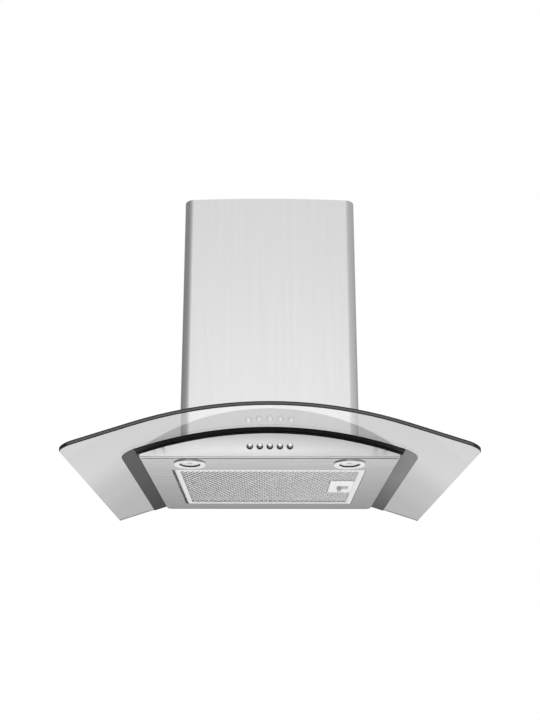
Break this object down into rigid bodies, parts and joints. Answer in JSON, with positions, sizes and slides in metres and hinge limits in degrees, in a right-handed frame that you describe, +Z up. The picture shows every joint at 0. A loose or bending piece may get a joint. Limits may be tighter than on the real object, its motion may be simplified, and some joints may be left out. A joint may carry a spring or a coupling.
{
  "type": "range hood",
  "caption": "Wall-mounted range hood with an arched clear glass canopy, bowed steel chimney cover, push buttons, lamps and a hinged mesh grease filter.",
  "frame": {"origin": "middle of the lower rear edge of the canopy pan, in the wall plane, level with the underside", "axes": "+Y into the wall, +X to the right of a person facing the hood, +Z up"},
  "size_m": [0.6, 0.522, 0.5266],
  "materials": {
    "stainless": "fine brushed grain",
    "zinc": "galvanised sheet",
    "aluminium": "satin",
    "chrome": "polished",
    "seal": "satin black",
    "dark_plate": "dark grey coating",
    "canopy_glass": "clear, toughened",
    "lamp_glass": "frosted",
    "black_plastic": "matte",
    "white_plastic": "matte"
  },
  "bodies": {
    "hood": {"canopy_pan": "stainless", "front_panel": "stainless", "chimney_lower": "stainless", "chimney_screws": "stainless", "glass_bolts": "stainless", "flap_pins": "stainless", "filter_hinge_pins": "stainless", "front_seal": "seal", "glass_grommets": "seal", "glass_support_plate": "dark_plate", "glass_canopy": "canopy_glass", "air_box": "zinc", "hanging_plate": "zinc", "chimney_bracket": "zinc", "chimney_stays": "zinc", "motor_bracket": "zinc", "filter_keeper": "zinc", "motor": "zinc", "control_box": "zinc", "control_box_cover": "zinc", "switch_block": "black_plastic", "volute_left": "black_plastic", "volute_right": "black_plastic", "outlet_adapter": "black_plastic", "outlet_collar": "black_plastic", "outlet_flange": "black_plastic", "cable_gland": "black_plastic", "terminal_block": "white_plastic", "lamp_transformer": "white_plastic", "capacitor": "white_plastic", "lamp_housing_left": "aluminium", "lamp_housing_right": "aluminium", "lamp_trim_left": "chrome", "lamp_trim_right": "chrome", "lamp_lens_left": "lamp_glass", "lamp_lens_right": "lamp_glass", "lamp_capsule_left": "lamp_glass", "lamp_capsule_right": "lamp_glass"},
    "filter": {"filter_frame": "aluminium", "filter_mesh": "aluminium", "filter_core": "aluminium", "latch_plate": "aluminium"},
    "latch": {"latch_slider": "aluminium"},
    "impeller": {"impeller_disc": "zinc", "impeller_rings": "zinc", "impeller_blades": "zinc", "motor_shaft": "stainless"},
    "flap_front": {"flap_front": "black_plastic"},
    "flap_rear": {"flap_rear": "black_plastic"},
    "chimney_upper": {"chimney_upper": "stainless"},
    "button_1": {"button_1": "chrome"},
    "button_2": {"button_2": "chrome"},
    "button_3": {"button_3": "chrome"},
    "button_4": {"button_4": "chrome"},
    "button_5": {"button_5": "chrome"}
  },
  "joints": [
    {"name": "button_1_press", "type": "slide", "parent": "hood", "child": "button_1", "axis": [0, 1, 0], "range_m": [0, 0.0025], "stiffness_N_per_m": 400, "springref_m": -0.002},
    {"name": "button_2_press", "type": "slide", "parent": "hood", "child": "button_2", "axis": [0, 1, 0], "range_m": [0, 0.0025], "stiffness_N_per_m": 400, "springref_m": -0.002},
    {"name": "button_3_press", "type": "slide", "parent": "hood", "child": "button_3", "axis": [0, 1, 0], "range_m": [0, 0.0025], "stiffness_N_per_m": 400, "springref_m": -0.002},
    {"name": "button_4_press", "type": "slide", "parent": "hood", "child": "button_4", "axis": [0, 1, 0], "range_m": [0, 0.0025], "stiffness_N_per_m": 400, "springref_m": -0.002},
    {"name": "button_5_press", "type": "slide", "parent": "hood", "child": "button_5", "axis": [0, 1, 0], "range_m": [0, 0.0025], "stiffness_N_per_m": 400, "springref_m": -0.002},
    {"name": "filter_swing", "type": "hinge", "parent": "hood", "child": "filter", "pos_m": [-0.154, -0.1805, 0.0045], "axis": [0, 1, 0], "range_deg": [0, 85]},
    {"name": "latch_slide", "type": "slide", "parent": "filter", "child": "latch", "axis": [1, 0, 0], "range_m": [0, 0.006], "stiffness_N_per_m": 400, "springref_m": -0.003},
    {"name": "impeller_spin", "type": "hinge", "parent": "hood", "child": "impeller", "pos_m": [0, -0.11, 0.165], "axis": [1, 0, 0], "continuous": true},
    {"name": "flap_front_swing", "type": "hinge", "parent": "hood", "child": "flap_front", "pos_m": [0, -0.164, 0.308], "axis": [-1, 0, 0], "range_deg": [0, 80]},
    {"name": "flap_rear_swing", "type": "hinge", "parent": "hood", "child": "flap_rear", "pos_m": [0, -0.156, 0.308], "axis": [1, 0, 0], "range_deg": [0, 80]},
    {"name": "chimney_extend", "type": "slide", "parent": "hood", "child": "chimney_upper", "axis": [0, 0, 1], "range_m": [0, 0.33]}
  ]
}
